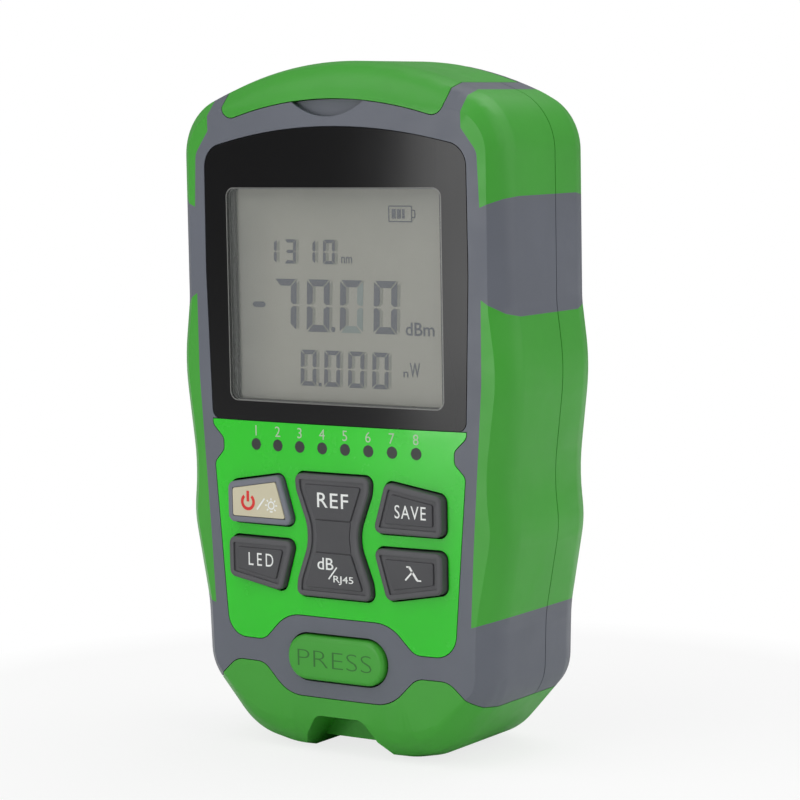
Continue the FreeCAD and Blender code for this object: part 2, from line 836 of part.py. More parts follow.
def contacts(name, x, y, z_to):
    """Eight contact wires along one wall of a socket."""
    wires = []
    for number in range(8):
        wire_x = f"{x} + {number - 3.5}*1.02"
        wires.append(block(f"{name}_{number}", f"{wire_x} - 0.2", f"{wire_x} + 0.2", f"{y} - plug_half_y",
                           f"{y} - plug_half_y + 0.5", f"{z_to} - plug_depth + 0.1", f"{z_to} - 2.5"))
    return compound(name, wires)


network_jack = socket("network_jack", "jack_x", "port_y", "92", "port_top_z + 0.5")
jack_contacts = contacts("jack_contacts", "jack_x", "port_y", "port_top_z + 0.5")
optical_adapter = cut(
    "optical_adapter",
    fuse("adapter_turning", rod("adapter_barrel", "z", "adapter_x", "port_y", "98", "4", "14"),
         rod("adapter_collar", "z", "adapter_x", "port_y", "98", "4.8", "3.9")),
    rod("adapter_bore", "z", "adapter_x", "port_y", "102", "ferrule_radius", "12"),
)
red_light_port = cut(
    "red_light_port",
    fuse("laser_turning", rod("laser_barrel", "z", "laser_x", "port_y", "98", "3.2", "13"),
         rod("laser_collar", "z", "laser_x", "port_y", "98", "4", "3.9")),
    rod("laser_bore", "z", "laser_x", "port_y", "101", "ferrule_radius", "12"),
)
lamp_dome = doc.addObject("Part::Cone", "lamp_dome")
bind(lamp_dome, "Radius1", "lamp_radius")
bind(lamp_dome, "Radius2", "lamp_radius/2")
bind(lamp_dome, "Height", "0.7*lamp_radius")
for axis, place in (("x", "lamp_x"), ("y", "port_y"), ("z", "port_top_z + 1")):
    bind(lamp_dome, f"Placement.Base.{axis}", place)
lamp_barrel = rod("lamp_barrel", "z", "lamp_x", "port_y", "100", "lamp_radius", "port_top_z - 99")
lamp_led = fuse("lamp_led", lamp_barrel, lamp_dome)
port_block = cut(
    "port_block",
    wide_block("port_blank", f"{BAY_X} - 0.15", f"{FRONT} + front_wall + 0.15", "13.85", "port_floor_z",
               "port_top_z"),
    block("jack_hole", "jack_x - jack_half_x - 0.1", "jack_x + jack_half_x + 0.1", "port_y - jack_half_y - 0.1",
          "port_y + jack_half_y + 0.1", "90", "130"),
    rod("adapter_hole", "z", "adapter_x", "port_y", "90", "4.05", "40"),
    rod("laser_hole", "z", "laser_x", "port_y", "90", "3.25", "40"),
    rod("lamp_hole", "z", "lamp_x", "port_y", "90", "lamp_radius + 0.05", "40"),
)

# ---------------------------------------------------------------- dust cover

cover_skin = cut("cover_skin", casing, cavity)
cover_area = prism("cover_area", COVER, f"-{DEEP}", "hinge_y - 0.001")
cover_rear = hinge_rod("cover_rear_curve", "hinge_bar + hinge_gap", "bulge_x")
cover_plate = cut("cover_plate", common("cover_blank", cover_skin, cover_area), cover_rear)
web_block = wide_block("web_block", "knuckle_x", "7.4", "hinge_y", "hinge_z - 0.2", "case_height")
cover_web = common("cover_web", casing, web_block)
dust_cover = cut(
    "dust_cover",
    fuse("cover_with_knuckle", cover_plate, cover_web, hinge_rod("cover_knuckle", "knuckle", "knuckle_x")),
    hinge_rod("knuckle_bore", "pin_radius + pin_gap", "knuckle_x + 1"),
)
hinge_pin = hinge_rod("hinge_pin", "pin_radius", "pin_x")

# ---------------------------------------------------------------- batteries and fasteners

battery_places = ["-battery_pitch", "0", "battery_pitch"]
batteries = compound("batteries", [
    fuse(f"battery_{number}",
         facet_rod(f"cell_{number}", "z", x, "battery_y", "cell_low_z", "cell_radius", "cell_length", 20),
         facet_rod(f"cap_{number}", "z", x, "battery_y", "cell_low_z + cell_length", "2", "1"))
    for number, x in enumerate(battery_places)
])
battery_contacts = compound("battery_contacts", [
    block(f"contact_{number}_{place}", f"{x} - 4", f"{x} + 4", "5", "12.2", low, high)
    for number, x in enumerate(battery_places)
    for place, low, high in (
        ("low", "battery_low_z", "battery_low_z + 0.8"),
        ("high", "battery_high_z - 0.7", "battery_high_z"),
    )
])
battery_cover = cut(
    "battery_cover",
    wide_block("cover_panel", "hatch_x", "hatch_y", BACK, "hatch_low_z", "hatch_high_z"),
    *[wide_block(f"ridge_{number}", "7", f"{BACK} - 0.6", "20", f"{80 + 2*number}", f"{81 + 2*number}")
      for number in range(4)],
)
case_screws = compound("case_screws", [
    fuse(f"screw_{number}",
         facet_rod(f"screw_head_{number}", "y", f"{side}{x}", "screw_seat_y", z, "2.1", "1.6", 12),
         facet_rod(f"screw_shaft_{number}", "y", f"{side}{x}", "-5", z, "1.05", "17.5"))
    for number, (side, x, z) in enumerate(boss_places())
])

# ---------------------------------------------------------------- remote module

NOTCH = mirrored([
    ("11", "-3", "0"),
    ("9.2", "0.8", "2"),
    ("4.8", "6.9", "2"),
])
above_cap = above_junction("above_cap", "-junction_gap/2")
cap_room = above_junction("above_seat", "junction_gap/2")
cap_blank = cut("cap_blank", casing, above_cap)
cap_lining = common("cap_lining", cut("cap_inside", casing, above_cap), fuse(
    "cap_lining_blocks",
    wide_block("notch_lining", "12", "-20", "1", "-1", "8.4"),
    facet_rod("cap_boss_right", "z", "cap_screw_x", "cap_screw_y", "0", "2.4", "8.4"),
    facet_rod("cap_boss_left", "z", "-cap_screw_x", "cap_screw_y", "0", "2.4", "8.4"),
))
cap_hollow = fuse(
    "cap_hollow",
    wide_block("cap_room", "17.6", "-12.4", "12.8", "4.5", "20"),
    wide_block("cap_side_room", "22.3", "-10.5", "11", "8", "20"),
)
remote_cap = cut(
    "remote_cap",
    fuse("cap_with_bar",
         cut("cap_notched", fuse("cap_solid", cut("cap_shell", cap_blank, cap_hollow), cap_lining),
             prism("notch", NOTCH, "-20", "-1")),
         wide_block("notch_bar", "10", "-8", "-5", "1.6", "4.6")),
    facet_rod("cap_screw_hole_right", "z", "cap_screw_x", "cap_screw_y", "3.5", "1.15", "6"),
    facet_rod("cap_screw_hole_left", "z", "-cap_screw_x", "cap_screw_y", "3.5", "1.15", "6"),
)
remote_carrier = cut(
    "remote_carrier",
    fuse("carrier_solid",
         wide_block("carrier_plate", "17.4", "-12.3", "12.6", "8.5", "carrier_floor_z"),
         wide_block("carrier_tongue", "9.5", "-6.8", "8.8", "carrier_floor_z - 0.1", "remote_jack_z"),
         wide_block("latch_leaf", "6", "-10.8", "-9.8", "carrier_floor_z - 0.1", "20"),
         wide_block("latch_barbs", "7.6", "-10.8", "-9.8", "16.5", "19")),
    wide_block("carrier_pocket", "jack_half_x + 0.05", "remote_jack_y - jack_half_y - 0.05",
               "remote_jack_y + jack_half_y + 0.05", "12", "30"),
    facet_rod("carrier_hole_right", "z", "cap_screw_x", "cap_screw_y", "5", "1.3", "6"),
    facet_rod("carrier_hole_left", "z", "-cap_screw_x", "cap_screw_y", "5", "1.3", "6"),
)
remote_jack = socket("remote_jack", "0", "remote_jack_y", "12", "remote_jack_z")
remote_contacts = contacts("remote_contacts", "0", "remote_jack_y", "remote_jack_z")
remote_board = wide_block("remote_board", "11.8", "1.2", "12.4", "6.6", "8.2")
remote_screws = compound("remote_screws", [
    fuse(f"remote_screw_{side}",
         facet_rod(f"remote_screw_head_{side}", "z", x, "cap_screw_y", "carrier_floor_z", "1.9", "1.2", 12),
         facet_rod(f"remote_screw_shaft_{side}", "z", x, "cap_screw_y", "4", "1", "6"))
    for side, x in (("right", "cap_screw_x"), ("left", "-cap_screw_x"))
])

# ---------------------------------------------------------------- named parts

PARTS = {
    "front_shell": front_shell,
    "rear_shell": rear_shell,
    "front_grips": front_grips,
    "rear_grips": rear_grips,
    "display_lens": display_lens,
    "keypad_panel": keypad_panel,
    "lcd_glass": lcd_glass,
    "lcd_backlight": lcd_backlight,
    "lcd_frame": lcd_frame,
    "main_board": main_board,
    "keypad_mat": keypad_mat,
    "status_lights": status_lights,
    "power_key": keys["power_key"],
    "power_key_pad": power_key_pad,
    "save_key": keys["save_key"],
    "led_key": keys["led_key"],
    "wavelength_key": keys["wavelength_key"],
    "rocker_key": keys["rocker_key"],
    "release_button": release,
    "port_block": port_block,
    "network_jack": network_jack,
    "jack_contacts": jack_contacts,
    "optical_adapter": optical_adapter,
    "red_light_port": red_light_port,
    "lamp_led": lamp_led,
    "dust_cover": dust_cover,
    "hinge_pin": hinge_pin,
    "batteries": batteries,
    "battery_contacts": battery_contacts,
    "battery_cover": battery_cover,
    "case_screws": case_screws,
    "remote_cap": remote_cap,
    "remote_carrier": remote_carrier,
    "remote_jack": remote_jack,
    "remote_contacts": remote_contacts,
    "remote_board": remote_board,
    "remote_screws": remote_screws,
}

for label, part in PARTS.items():
    part.Label = label
doc.recompute()

for item in doc.Objects:
    if "Invalid" in item.State or "Error" in item.State:
        raise RuntimeError(f"{item.Label} did not build: {item.State}")
os.makedirs("parts", exist_ok=True)
for label, part in PARTS.items():
    shape = part.Shape
    if shape.isNull() or not shape.isValid():
        raise RuntimeError(f"{label} has no valid shape")
    shape.exportStep(f"parts/{label}.step")
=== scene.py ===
"""The looks of a hand-held optical power meter, dressed over its CAD frame."""
import json
import math

import bmesh
import bpy
from mathutils import Matrix, Vector


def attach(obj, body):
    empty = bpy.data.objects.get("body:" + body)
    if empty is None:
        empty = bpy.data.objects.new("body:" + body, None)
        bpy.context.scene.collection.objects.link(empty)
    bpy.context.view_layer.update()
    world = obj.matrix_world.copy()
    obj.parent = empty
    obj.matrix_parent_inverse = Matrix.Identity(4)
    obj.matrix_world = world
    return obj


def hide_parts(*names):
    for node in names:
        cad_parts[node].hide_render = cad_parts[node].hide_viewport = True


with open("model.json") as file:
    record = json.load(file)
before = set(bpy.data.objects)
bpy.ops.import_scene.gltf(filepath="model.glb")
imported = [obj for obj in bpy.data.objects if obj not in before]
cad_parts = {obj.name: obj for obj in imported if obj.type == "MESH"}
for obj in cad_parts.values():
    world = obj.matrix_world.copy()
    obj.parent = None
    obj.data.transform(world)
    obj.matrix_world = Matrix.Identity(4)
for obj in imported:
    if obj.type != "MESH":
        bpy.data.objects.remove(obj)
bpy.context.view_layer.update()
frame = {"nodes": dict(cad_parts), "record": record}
nodes = frame["nodes"]
BODIES = frame["record"]["behaviour"]["bodies"]
BODY_OF = {node: body for body, members in BODIES.items() for node in members}
SLOT_OF = {part["node"]: part["material_slot"] for part in frame["record"]["subparts"]}

MM = 0.001
CROWN_RADIUS = 412
FRONT_Y = -16.2
GLASS_Y = -13.8

# the clear window in the display lens
WINDOW_X = 22.2
WINDOW_LOW_Z = 61.5
WINDOW_HIGH_Z = 98.45
WINDOW_CORNER = 1.5
# width of a painted highlight: a pale line round the window, standing for light caught at its edge
WINDOW_HIGHLIGHT = 0.16
WINDOW_BLUR = 0.05

# where painted shade makes the display's face darker, towards its left edge and its top, standing for the
# shade near the window's edges
PAINTED_SHADE_LEFT_X = (-22.2, -12)
PAINTED_SHADE_TOP_Z = (88, 99)


# ---------------------------------------------------------------- finishes

def linear(colour):
    """An 8-bit screen colour as the linear numbers that shaders use."""
    return [(c / 255 / 12.92) if c / 255 <= 0.04045 else ((c / 255 + 0.055) / 1.055) ** 2.4 for c in colour]


def rgba(colour, shade=1.0):
    return (*[channel * shade for channel in linear(colour)], 1.0)


def bare_material(name):
    material = bpy.data.materials.new(name)
    material.use_nodes = True
    tree = material.node_tree
    shader = tree.nodes["Principled BSDF"]
    place = tree.nodes.new("ShaderNodeTexCoord")
    return material, tree, shader, place.outputs["Object"]


def noise(tree, place, scale, detail=2.0, roughness=0.5):
    texture = tree.nodes.new("ShaderNodeTexNoise")
    texture.inputs["Scale"].default_value = scale
    texture.inputs["Detail"].default_value = detail
    texture.inputs["Roughness"].default_value = roughness
    tree.links.new(place, texture.inputs["Vector"])
    return texture.outputs["Fac"]


def spread(tree, source, low, top_shade_share, from_low=0.3, from_high=0.7):
    """A texture's value carried from one range to another."""
    carry = tree.nodes.new("ShaderNodeMapRange")
    carry.inputs["From Min"].default_value = from_low
    carry.inputs["From Max"].default_value = from_high
    carry.inputs["To Min"].default_value = low
    carry.inputs["To Max"].default_value = top_shade_share
    tree.links.new(source, carry.inputs["Value"])
    return carry.outputs["Result"]


def blended(tree, share, first, second):
    """A colour between two, by the share that a texture gives."""
    mix = tree.nodes.new("ShaderNodeMix")
    mix.data_type = "RGBA"
    tree.links.new(share, mix.inputs["Factor"])
    for socket, colour in (("A", first), ("B", second)):
        target = [s for s in mix.inputs if s.name == socket and s.type == "RGBA"][0]
        if isinstance(colour, bpy.types.NodeSocket):
            tree.links.new(colour, target)
        else:
            target.default_value = colour
    return [s for s in mix.outputs if s.type == "RGBA"][0]


def bumped(tree, shader, height, strength, distance):
    bump = tree.nodes.new("ShaderNodeBump")
    bump.inputs["Strength"].default_value = strength
    bump.inputs["Distance"].default_value = distance
    tree.links.new(height, bump.inputs["Height"])
    tree.links.new(bump.outputs["Normal"], shader.inputs["Normal"])


def moulded_finish(name, colour, roughness, grain=5000, grain_height=0.25, cloud=0.05, coat=0.0,
                   specular=0.5):
    """Moulded plastic or rubber: faint clouds in its colour, fine grain and slightly uneven sheen."""
    material, tree, shader, place = bare_material(name)
    clouds = noise(tree, place, 60, 3)
    tone = blended(tree, spread(tree, clouds, 0, 1), rgba(colour, 1 - cloud), rgba(colour, 1 + cloud))
    tree.links.new(tone, shader.inputs["Base Color"])
    sheen = noise(tree, place, 220, 4)
    tree.links.new(spread(tree, sheen, roughness - 0.04, roughness + 0.05), shader.inputs["Roughness"])
    bumped(tree, shader, noise(tree, place, grain, 2), grain_height, 0.00002)
    shader.inputs["Specular IOR Level"].default_value = specular
    shader.inputs["Coat Weight"].default_value = coat
    shader.inputs["Coat Roughness"].default_value = 0.06
    return material


def metal_finish(name, colour, roughness, brushed=0.0):
    """Plated or plain metal with faint turning marks."""
    material, tree, shader, place = bare_material(name)
    stretch = tree.nodes.new("ShaderNodeMapping")
    stretch.inputs["Scale"].default_value = (1, 1, 1 + 14 * brushed)
    tree.links.new(place, stretch.inputs["Vector"])
    marks = noise(tree, stretch.outputs["Vector"], 900, 4)
    tone = blended(tree, marks, rgba(colour, 0.86), rgba(colour, 1.08))
    tree.links.new(tone, shader.inputs["Base Color"])
    tree.links.new(spread(tree, marks, roughness - 0.06, roughness + 0.08), shader.inputs["Roughness"])
    shader.inputs["Metallic"].default_value = 1.0
    bumped(tree, shader, marks, 0.15, 0.00001)
    return material


def inside_window(tree, place, grown_by=0.0):
    """1 inside the display's round-cornered window, or that far outside it, and 0 further out."""
    split = tree.nodes.new("ShaderNodeSeparateXYZ")
    tree.links.new(place, split.inputs["Vector"])
    reach = tree.nodes.new("ShaderNodeCombineXYZ")

    def arithmetic(operation, source, number):
        node = tree.nodes.new("ShaderNodeMath")
        node.operation = operation
        tree.links.new(source, node.inputs[0])
        node.inputs[1].default_value = number
        return node.outputs[0]

    middle = (WINDOW_LOW_Z + WINDOW_HIGH_Z) / 2
    half_height = (WINDOW_HIGH_Z - WINDOW_LOW_Z) / 2
    for axis, centre, half in (("X", 0, WINDOW_X), ("Z", middle, half_height)):
        away = arithmetic("ABSOLUTE", arithmetic("SUBTRACT", split.outputs[axis], centre * MM), 0)
        past = arithmetic("MAXIMUM", arithmetic("SUBTRACT", away, (half - WINDOW_CORNER) * MM), 0)
        tree.links.new(past, reach.inputs[axis])
    length = tree.nodes.new("ShaderNodeVectorMath")
    length.operation = "LENGTH"
    tree.links.new(reach.outputs[0], length.inputs[0])
    edge = (WINDOW_CORNER + grown_by) * MM
    return spread(tree, length.outputs["Value"], 1, 0, edge - WINDOW_BLUR * MM, edge)


def lens_finish():
    """A clear acrylic window inside a border printed black from behind, with a thin pale line between that
    is a painted highlight for the light caught at the window's edge.
    """
    material, tree, shader, place = bare_material("black_window_lens")
    window = inside_window(tree, place)
    # painted highlight: the pale ring just outside the window
    highlight_ring = inside_window(tree, place, WINDOW_HIGHLIGHT)
    border_and_highlight = blended(tree, highlight_ring, rgba((17, 17, 18)), rgba((122, 122, 120)))
    tree.links.new(blended(tree, window, border_and_highlight, rgba((210, 215, 210))), shader.inputs["Base Color"])
    tree.links.new(spread(tree, window, 1.0, 0.07, 0, 1), shader.inputs["Alpha"])
    haze = noise(tree, place, 35, 2)
    tree.links.new(spread(tree, haze, 0.13, 0.19), shader.inputs["Roughness"])
    shader.inputs["Specular IOR Level"].default_value = 0.2
    return material


def display_finish():
    """The display's grey-beige face, with painted shade making it a little darker towards its top and its
    left edge.
    """
    material, tree, shader, place = bare_material("display_face_painted_shade")
    split = tree.nodes.new("ShaderNodeSeparateXYZ")
    tree.links.new(place, split.inputs["Vector"])
    # painted shade: darker towards the left edge
    left_shade_share = spread(tree, split.outputs["X"], 1, 0, *[x * MM for x in PAINTED_SHADE_LEFT_X])
    tone = blended(tree, left_shade_share, rgba((142, 141, 132)), rgba((113, 113, 108)))
    # painted shade: darker towards the top
    top_shade_share = spread(tree, split.outputs["Z"], 0, 1, *[z * MM for z in PAINTED_SHADE_TOP_Z])
    tone = blended(tree, top_shade_share, tone, rgba((130, 130, 122)))
    grain = noise(tree, place, 260, 3)
    faint = blended(tree, spread(tree, grain, 0, 0.10), tone, rgba((156, 155, 145)))
    tree.links.new(faint, shader.inputs["Base Color"])
    tree.links.new(spread(tree, grain, 0.30, 0.38), shader.inputs["Roughness"])
    return material


def lamp_finish():
    """Clear epoxy with a faint haze."""
    material, tree, shader, place = bare_material("clear_epoxy")
    haze = noise(tree, place, 300, 2)
    tone = blended(tree, haze, rgba((225, 230, 232)), rgba((245, 248, 250)))
    tree.links.new(tone, shader.inputs["Base Color"])
    tree.links.new(spread(tree, haze, 0.05, 0.12), shader.inputs["Roughness"])
    shader.inputs["Transmission Weight"].default_value = 0.7
    return material


FINISHES = {
    "green_body": moulded_finish("green_grip", (58, 160, 42), 0.42, 4200, 0.3, 0.04),
    "green_gloss": moulded_finish("green_gloss_panel", (34, 202, 27), 0.24, 1200, 0.04, 0.05, coat=0.25,
                                  specular=0.35),
    "grey_body": moulded_finish("grey_casing", (97, 101, 111), 0.46, 5200, 0.35, 0.05),
    "black_lens": lens_finish(),
    "lcd": display_finish(),
    "white_plastic": moulded_finish("white_frame", (222, 222, 218), 0.5),
    "key_rubber": moulded_finish("dark_key_rubber", (73, 73, 76), 0.55, 6000, 0.3, 0.04, specular=0.4),
    "key_beige": moulded_finish("beige_key_top", (205, 198, 170), 0.5, 6000, 0.2, 0.03),
    "black_plastic": moulded_finish("black_socket_plastic", (30, 30, 32), 0.45),
    "board_green": moulded_finish("solder_mask", (26, 92, 48), 0.35, 900, 0.3, 0.12),
    "light_dark": moulded_finish("smoked_light_pipe", (38, 42, 40), 0.2, 1500, 0.05, 0.1),
    "nickel": metal_finish("nickel_plate", (208, 205, 200), 0.24),
    "gold_wire": metal_finish("gold_plate", (222, 178, 96), 0.28),
    "steel": metal_finish("plain_steel", (176, 177, 180), 0.34, 1.0),
    "clear_lamp": lamp_finish(),
    "cell_wrap": moulded_finish("cell_wrap", (84, 88, 98), 0.3, 900, 0.05, 0.15),
}
RIM_RUBBER = moulded_finish("key_rim_rubber", (84, 84, 87), 0.5, 6000, 0.3, 0.04, specular=0.4)
POWER_RIM = moulded_finish("power_key_rim", (113, 116, 126), 0.5, 6000, 0.3, 0.03)
LEGEND_WHITE = moulded_finish("white_print", (236, 238, 236), 0.5, 3000, 0.1, 0.02)
NUMBER_GREY = moulded_finish("grey_print", (176, 196, 168), 0.5, 3000, 0.1, 0.02)
LEGEND_RED = moulded_finish("red_print", (214, 30, 26), 0.5, 3000, 0.1, 0.03)
# painted shade: the PRESS letters are moulded in the button's green and drawn darker to stand for the shade
# of their relief
PRESS_LETTER_SHADE = moulded_finish("press_letters_painted_shade", (38, 108, 32), 0.5, 4200, 0.2, 0.03)
SEGMENT_INK = moulded_finish("display_segment", (70, 73, 84), 0.4, 3000, 0.05, 0.05)
SEGMENT_FAINT = moulded_finish("display_segment_faint", (112, 123, 121), 0.4, 3000, 0.05, 0.05)
# painted shadow: the numerals' shadow on the display's back, drawn as a lighter grey copy of them
SEGMENT_PAINTED_SHADOW = moulded_finish("display_segment_painted_shadow", (116, 116, 109), 0.4, 3000, 0.05, 0.04)
# the housing wall at the window's edge together with painted shade in the gap
GAP_WALL_AND_SHADE = moulded_finish("dark_gap_wall_and_shade", (34, 34, 35), 0.3, 3000, 0.1, 0.04)


# ---------------------------------------------------------------- making pieces

def shade(mesh_form, sharp_degrees):
    """Smooth faces, with the edges that turn by more than the limit kept sharp."""
    limit = math.radians(sharp_degrees)
    for face in mesh_form.faces:
        face.smooth = True
    for edge in mesh_form.edges:
        edge.smooth = not edge.is_manifold or edge.calc_face_angle(0) < limit


STEP_SHARP = 33
RIM_SHARP = 40


def piece(mesh_form, name, body, material, stands_for=(), sharp=STEP_SHARP):
    """A finished piece from a bmesh: shaded, coloured and riding on its body."""
    shade(mesh_form, sharp)
    mesh = bpy.data.meshes.new(name)
    mesh_form.to_mesh(mesh)
    mesh_form.free()
    made = bpy.data.objects.new(name, mesh)
    bpy.context.scene.collection.objects.link(made)
    mesh.materials.append(material)
    even = made.modifiers.new("even_normals", "WEIGHTED_NORMAL")
    even.keep_sharp = True
    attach(made, body)
    if stands_for:
        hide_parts(*stands_for)


def moulded(node):
    """The node's own form with merged, smoothly shaded faces."""
    form = bmesh.new()
    form.from_mesh(nodes[node].data)
    bmesh.ops.remove_doubles(form, verts=form.verts, dist=0.001 * MM)
    piece(form, f"{node}_form", BODY_OF[node], FINISHES[SLOT_OF[node]], (node,))


def crown_y(x):
    """How far back the crowned front lies at a distance from the middle, in millimetres."""
    return FRONT_Y + CROWN_RADIUS - math.sqrt(CROWN_RADIUS ** 2 - x ** 2)


CORNER_SEGMENTS = 6


def outline_face(form, corners, y):
    """A face that looks to the front, with rounded corners given as x, z and radius in millimetres."""
    points = [Vector((x, z)) for x, z, r in corners]
    verts = [form.verts.new((x * MM, y * MM, z * MM)) for x, z, r in corners]
    form.faces.new(verts)
    for number, (x, z, radius) in enumerate(corners):
        if not radius:
            continue
        before = points[number - 1] - points[number]
        after = points[(number + 1) % len(points)] - points[number]
        cut_back = radius / math.tan(before.angle(after) / 2)
        bmesh.ops.bevel(form, geom=[verts[number]], offset=cut_back * MM, offset_type="ABSOLUTE",
                        segments=CORNER_SEGMENTS, profile=0.5, affect="VERTICES", material=-1)
    form.faces.ensure_lookup_table()
    face = form.faces[-1]
    face.normal_update()
    if face.normal.y > 0:
        face.normal_flip()
    return face


def close_back(form, edges):
    """Fills the open back behind the edges that the outline started from."""
    open_edges = [edge for edge in edges if edge.is_valid and edge.is_boundary]
    bmesh.ops.holes_fill(form, edges=open_edges, sides=0)


def step(form, face, inward, outward):
    """The face drawn in by one distance and raised towards the front by another, in millimetres."""
    bmesh.ops.inset_region(form, faces=[face], use_boundary=True, use_even_offset=True,
                           thickness=inward * MM, depth=outward * MM)


def rounded_step(form, face, radius, turns=4):
    """A quarter-round edge over the rim onto the face."""
    for turn in range(turns):
        start, end = (math.pi / 2 * share / turns for share in (turn, turn + 1))
        inward = radius * (math.cos(start) - math.cos(end))
        outward = radius * (math.sin(end) - math.sin(start))
        step(form, face, inward, outward)


def raised_form(form, corners, y_back, height, edge_round, extra=()):
    """A closed block with rounded front edges; extra steps go on from its front face."""
    face = outline_face(form, corners, y_back)
    edges = list(face.edges)
    step(form, face, 0, height - edge_round)
    rounded_step(form, face, edge_round)
    for inward, outward in extra:
        step(form, face, inward, outward)
    close_back(form, edges)


def closed_out(form):
    """Merges doubled points and turns every face outwards."""
    bmesh.ops.remove_doubles(form, verts=form.verts, dist=0.0005 * MM)
    bmesh.ops.recalc_face_normals(form, faces=form.faces)


PRINT_DEPTH = 0.03


def add_stroke(form, start, end, width, y_front, depth=PRINT_DEPTH):
    """A straight printed stroke between two points seen from the front."""
    (x0, z0), (x1, z1) = start, end
    length = math.hypot(x1 - x0, z1 - z0)
    middle = Vector(((x0 + x1) / 2, y_front + depth / 2, (z0 + z1) / 2)) * MM
    turn = Matrix.Rotation(-math.atan2(z1 - z0, x1 - x0), 4, "Y")
    size = Matrix.Diagonal((length * MM, depth * MM, width * MM, 1))
    bmesh.ops.create_cube(form, size=1, matrix=Matrix.Translation(middle) @ turn @ size)


def add_arc(form, centre, radius, width, start, end, y_front, depth=PRINT_DEPTH, steps=24):
    """A printed arc round a centre, from one angle to another, anticlockwise from the right."""
    x, z = centre
    near, far = radius - width / 2, radius + width / 2
    corners = [(near, y_front), (far, y_front), (far, y_front + depth), (near, y_front + depth)]
    verts = [form.verts.new(((x + reach) * MM, y * MM, z * MM)) for reach, y in corners]
    form.verts.ensure_lookup_table()
    middle = Vector((x * MM, 0, z * MM))
    bmesh.ops.rotate(form, verts=verts, cent=middle, matrix=Matrix.Rotation(-math.radians(start), 3, "Y"))
    edges = [form.edges.new((verts[n], verts[(n + 1) % 4])) for n in range(4)]
    whole = abs(end - start) >= 360
    spun = bmesh.ops.spin(form, geom=edges, cent=middle, axis=(0, -1, 0), steps=steps,
                          angle=math.radians(end - start), use_merge=whole)
    if not whole:
        form.faces.new(verts)
        last_edges = [item for item in spun["geom_last"] if isinstance(item, bmesh.types.BMEdge)]
        bmesh.ops.contextual_create(form, geom=last_edges)


def printed_text(name, words, box, y_front, body, material, weight=0.0, spacing=1.0):
    """A word in a box of left, right, low and high; equal left and right keep the word's proportions."""
    curve = bpy.data.curves.new(name, "FONT")
    curve.body = words
    curve.size = 1
    curve.extrude = 0.5
    curve.offset = weight
    curve.resolution_u = 4
    curve.space_character = spacing
    written = bpy.data.objects.new(f"{name}_curve", curve)
    bpy.context.scene.collection.objects.link(written)
    bpy.context.view_layer.update()
    shape = written.evaluated_get(bpy.context.evaluated_depsgraph_get())
    mesh = bpy.data.meshes.new_from_object(shape)
    bpy.data.objects.remove(written)
    form = bmesh.new()
    form.from_mesh(mesh)
    bpy.data.meshes.remove(mesh)
    lows = [min(vert.co[axis] for vert in form.verts) for axis in range(3)]
    highs = [max(vert.co[axis] for vert in form.verts) for axis in range(3)]
    left, right, low, top_shade_share = box
    if left == right:
        half = (top_shade_share - low) * (highs[0] - lows[0]) / (highs[1] - lows[1]) / 2
        left, right = left - half, right + half
    for vert in form.verts:
        across, up, out = [(vert.co[axis] - lows[axis]) / (highs[axis] - lows[axis]) for axis in range(3)]
        x = left + across * (right - left)
        y = y_front + (1 - out) * PRINT_DEPTH
        z = low + up * (top_shade_share - low)
        vert.co = Vector((x, y, z)) * MM
    closed_out(form)
    piece(form, name, body, material)


# ---------------------------------------------------------------- casing, plates and hidden parts

for plain_node in (
    "front_shell", "rear_shell", "front_grips", "rear_grips", "display_lens", "keypad_panel", "lcd_glass",
    "lcd_backlight", "lcd_frame", "main_board", "keypad_mat", "status_lights", "port_block",
    "network_jack", "jack_contacts", "optical_adapter", "red_light_port", "lamp_led", "dust_cover",
    "hinge_pin", "batteries", "battery_contacts", "battery_cover", "remote_cap", "remote_carrier",
    "remote_jack", "remote_contacts", "remote_board", "case_screws", "remote_screws",
):
    moulded(plain_node)

# the dark cross in each screw head in the back, painted shade: a thin black cross standing for the shade in
# the cross recess
SCREW_PLACES = [(side * x, z) for x, z in ((27, 93.5), (24.2, 25.5)) for side in (1, -1)]
CROSS_Y = 13.62
CROSS_LONG = 2.3
CROSS_WIDE = 0.5
CROSS_THICK = 0.05
crosses = bmesh.new()
for x, z in SCREW_PLACES:
    for across, up in ((CROSS_LONG, CROSS_WIDE), (CROSS_WIDE, CROSS_LONG)):
        size = Matrix.Diagonal((across * MM, CROSS_THICK * MM, up * MM, 1))
        place = Matrix.Translation(Vector((x, CROSS_Y, z)) * MM)
        bmesh.ops.create_cube(crosses, size=1, matrix=place @ size)
piece(crosses, "screw_recess_painted_shade", "casing", FINISHES["black_plastic"])

# ---------------------------------------------------------------- keys

HIGH_KEY = [(8.3, 40, 1.3), (22.3, 40, 1.3), (22.3, 47, 1.3), (11, 48.85, 1.3)]
LOW_KEY = [(11, 28.4, 1.3), (22.3, 30.4, 1.3), (22.3, 37.4, 1.3), (8.3, 37.4, 1.3)]
ROCKER_RIGHT = [(7.9, 28, 1.3), (7.6, 31, 4), (4.7, 38.7, 8), (7.6, 46.4, 4), (7.9, 49.4, 1.3)]
PRESS_RIGHT = [(10.1, 13.2, 3.7), (10.1, 21.1, 3.7)]
KEY_TOP_Y = -17.2
KEY_BACK_Y = -14.6
KEY_RIM_ROUND = 0.45
RIM = 0.55
FALL = 0.4
GROOVE_EDGE = 0.1
GROOVE_EASE = 0.06
WALL_LEAN = 0.04
TOP_BACK_Y = KEY_TOP_Y + FALL + 0.3
TOP_ROUND = 0.18
TOP_INSET = 1.75
TOP_CORNER = 0.4
PAD_Y = KEY_TOP_Y + 0.06
POWER_RIM_WIDE = 0.6
POWER_INSET = 1.16
POWER_PAD_HEIGHT = FALL + 0.37
